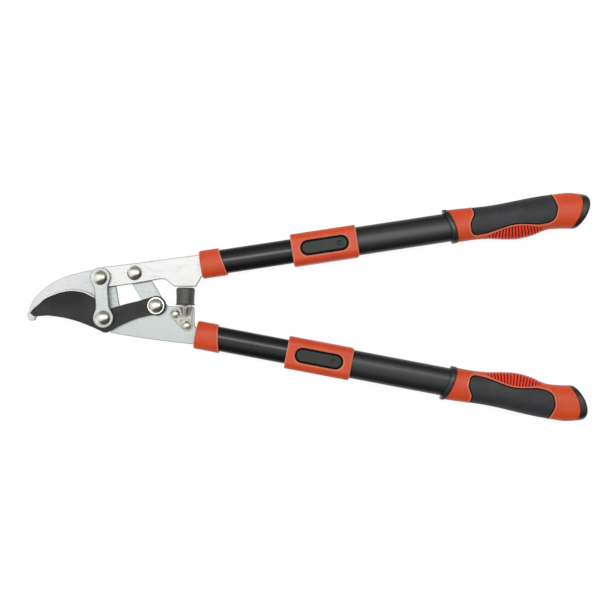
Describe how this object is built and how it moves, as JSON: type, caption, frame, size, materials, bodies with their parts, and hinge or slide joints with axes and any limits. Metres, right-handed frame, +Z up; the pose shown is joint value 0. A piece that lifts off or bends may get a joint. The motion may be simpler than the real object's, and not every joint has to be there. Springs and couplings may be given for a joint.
{
  "type": "telescopic lopper",
  "caption": "Compound-lever bypass lopper for pruning, with a curved coated blade, a hook jaw, a rubber bumper and oval handles that telescope and lock with rocker buttons.",
  "frame": {"origin": "centre of the lopper's footprint on the surface that it lies on, jaws shut and both handles pushed in", "axes": "+X along the middle line between the handles, from the jaws to the grips; +Y across, towards the lever plate's handle; +Z up, out of the side with the domed bolt heads"},
  "size_m": [0.6714, 0.2731, 0.0355],
  "materials": {
    "satin_steel": "satin bright plating",
    "coated_steel": "satin dark non-stick coating with a ground edge",
    "nickel": "polished nickel",
    "zinc": "dull zinc plating",
    "red_plastic": "satin moulded plastic",
    "black_tube": "satin black powder coat",
    "black_plastic": "satin moulded plastic",
    "soft_black": "matt soft rubber",
    "spring_steel": "plain spring strip"
  },
  "bodies": {
    "lower_arm": {"hook_plate": "satin_steel", "main_pivot_bolt": "nickel", "main_pivot_washer": "nickel", "main_pivot_nut": "zinc", "blade_pivot_bolt": "nickel", "blade_pivot_front_washer": "nickel", "blade_pivot_washer": "nickel", "blade_pivot_nut": "zinc", "bumper_bracket": "zinc", "bracket_rivet_left": "nickel", "bracket_rivet_right": "nickel", "bumper_rubber": "soft_black", "bumper_stud": "nickel", "bumper_nut": "nickel", "lower_ferrule": "red_plastic", "lower_tang_screw": "zinc", "lower_inner_tube": "black_tube", "lower_glide_plug": "black_plastic"},
    "upper_arm": {"lever_plate": "satin_steel", "link_upper_screw": "nickel", "upper_ferrule": "red_plastic", "upper_tang_screw": "zinc", "upper_inner_tube": "black_tube", "upper_glide_plug": "black_plastic"},
    "blade": {"cutting_blade": "coated_steel", "link_lower_screw": "nickel"},
    "link": {"drive_link": "satin_steel"},
    "upper_extension": {"upper_outer_tube": "black_tube", "upper_lock_collar": "red_plastic", "upper_collar_screw": "zinc", "upper_rocker_pin": "zinc", "upper_button_spring": "spring_steel", "upper_grip_ring": "black_plastic", "upper_grip_core": "red_plastic", "upper_grip_pad": "soft_black", "upper_end_cap": "black_plastic"},
    "lower_extension": {"lower_outer_tube": "black_tube", "lower_lock_collar": "red_plastic", "lower_collar_screw": "zinc", "lower_rocker_pin": "zinc", "lower_button_spring": "spring_steel", "lower_grip_ring": "black_plastic", "lower_grip_core": "red_plastic", "lower_grip_pad": "soft_black", "lower_end_cap": "black_plastic"},
    "upper_lock": {"upper_rocker_button": "black_plastic", "upper_lock_pin": "nickel"},
    "lower_lock": {"lower_rocker_button": "black_plastic", "lower_lock_pin": "nickel"}
  },
  "joints": [
    {"name": "lever_pivot", "type": "hinge", "parent": "lower_arm", "child": "upper_arm", "pos_m": [-0.2075, 0.031, 0.0148], "axis": [0, 0, 1], "range_deg": [0, 50]},
    {"name": "blade_pivot", "type": "hinge", "parent": "lower_arm", "child": "blade", "pos_m": [-0.1811, -0.0077, 0.0148], "axis": [0, 0, 1], "range_deg": [0, 30.9]},
    {"name": "link_pivot", "type": "hinge", "parent": "upper_arm", "child": "link", "pos_m": [-0.2477, 0.0245, 0.0148], "axis": [0, 0, 1], "range_deg": [-52.7, 0]},
    {"name": "upper_slide", "type": "slide", "parent": "upper_arm", "child": "upper_extension", "axis": [0.9857, 0.1683, 0], "range_m": [0, 0.24]},
    {"name": "lower_slide", "type": "slide", "parent": "lower_arm", "child": "lower_extension", "axis": [0.9857, -0.1683, 0], "range_m": [0, 0.24]},
    {"name": "upper_button", "type": "hinge", "parent": "upper_extension", "child": "upper_lock", "pos_m": [0.0186, 0.06728, 0.0312], "axis": [-0.1683, 0.9857, 0], "range_deg": [0, 7], "stiffness_Nm_per_rad": 0.6, "deforming": ["upper_button_spring"]},
    {"name": "lower_button", "type": "hinge", "parent": "lower_extension", "child": "lower_lock", "pos_m": [0.01446, -0.06657, 0.0312], "axis": [0.1683, 0.9857, 0], "range_deg": [0, 7], "stiffness_Nm_per_rad": 0.6, "deforming": ["lower_button_spring"]}
  ],
  "couplings": [
    {"joint": "blade_pivot", "follows": "lever_pivot", "ratio": 0.6163},
    {"joint": "link_pivot", "follows": "lever_pivot", "ratio": -1.0526}
  ]
}
